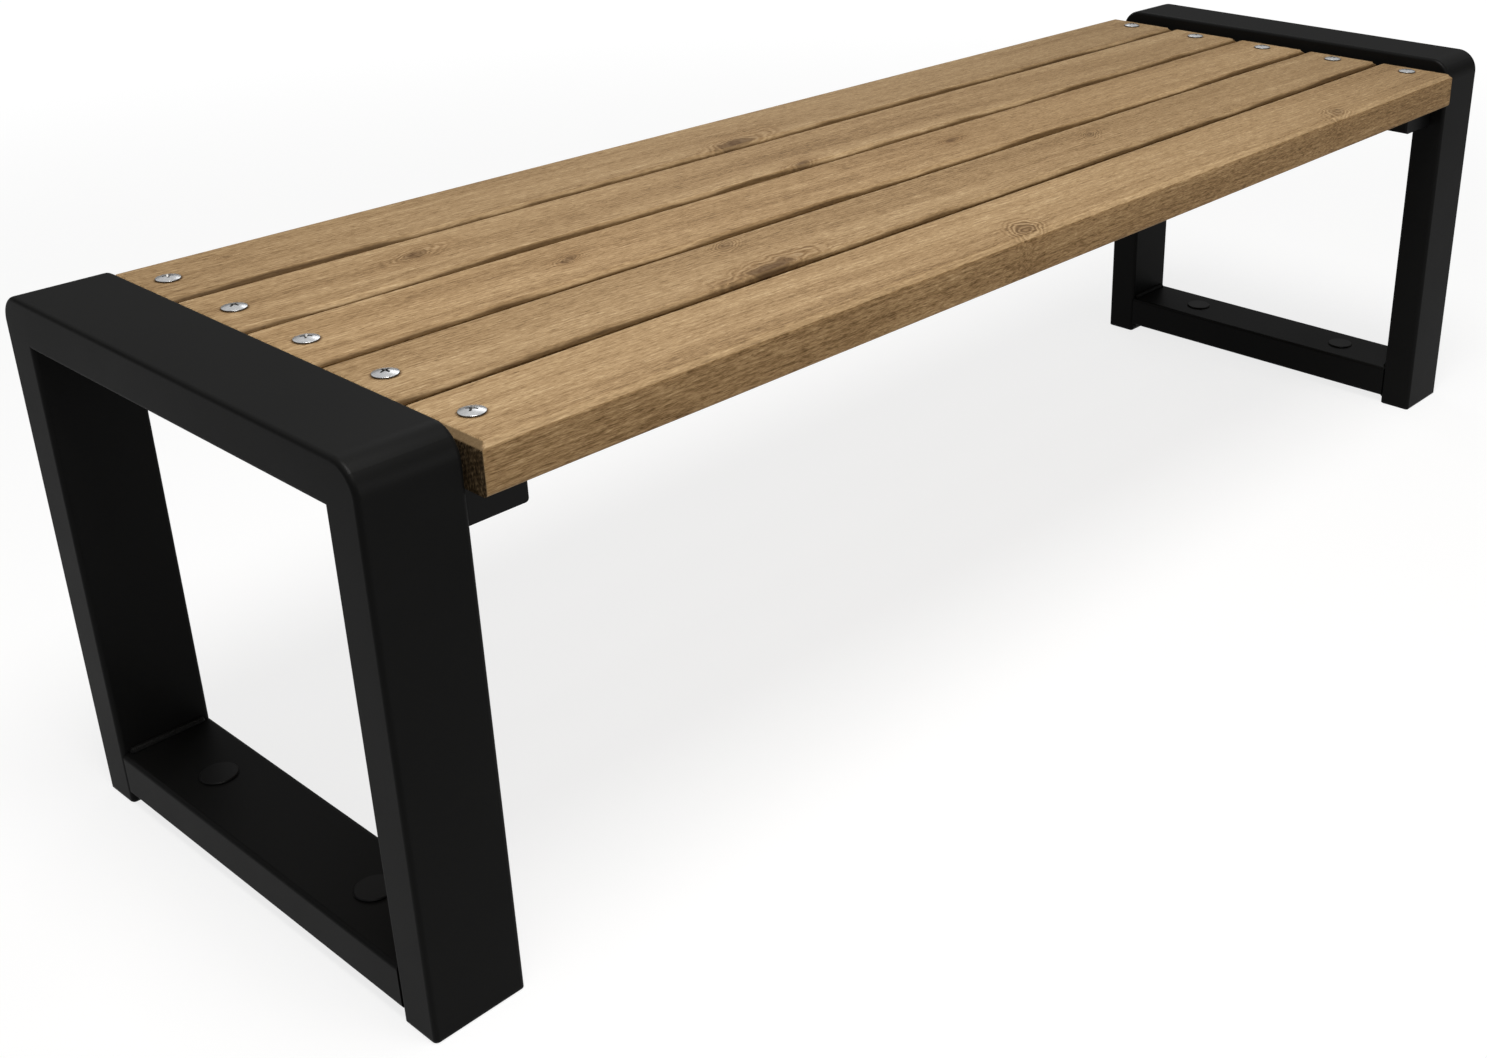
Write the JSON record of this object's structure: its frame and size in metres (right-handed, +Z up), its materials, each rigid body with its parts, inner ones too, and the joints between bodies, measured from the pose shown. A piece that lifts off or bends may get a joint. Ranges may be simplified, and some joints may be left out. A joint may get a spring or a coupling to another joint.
{
  "type": "backless bench",
  "caption": "Backless outdoor bench: timber slats bolted between closed end frames of black rectangular steel tube, with capped floor anchor holes.",
  "frame": {"origin": "on the floor, at the middle of the bench's footprint", "axes": "+X along the bench to its right end, -Y towards the front, +Z up"},
  "size_m": [1.6, 0.503, 0.465],
  "materials": {
    "slat_timber": "oiled, open grain, eased edges",
    "frame_powder_coat": "matt black powder coat",
    "black_plastic": "satin moulded plastic",
    "bright_zinc": "bright zinc plate"
  },
  "bodies": {
    "root": {"slat_front": "slat_timber", "slat_front_mid": "slat_timber", "slat_middle": "slat_timber", "slat_rear_mid": "slat_timber", "slat_rear": "slat_timber", "left_top_rail": "frame_powder_coat", "left_front_leg": "frame_powder_coat", "left_rear_leg": "frame_powder_coat", "left_base_bar": "frame_powder_coat", "left_front_foot": "black_plastic", "left_rear_foot": "black_plastic", "left_seat_support": "frame_powder_coat", "left_support_plugs": "black_plastic", "left_support_welds": "frame_powder_coat", "left_base_welds": "frame_powder_coat", "left_anchor_caps": "black_plastic", "left_slat_bolts": "bright_zinc", "right_top_rail": "frame_powder_coat", "right_front_leg": "frame_powder_coat", "right_rear_leg": "frame_powder_coat", "right_base_bar": "frame_powder_coat", "right_front_foot": "black_plastic", "right_rear_foot": "black_plastic", "right_seat_support": "frame_powder_coat", "right_support_plugs": "black_plastic", "right_support_welds": "frame_powder_coat", "right_base_welds": "frame_powder_coat", "right_anchor_caps": "black_plastic", "right_slat_bolts": "bright_zinc"}
  },
  "joints": []
}
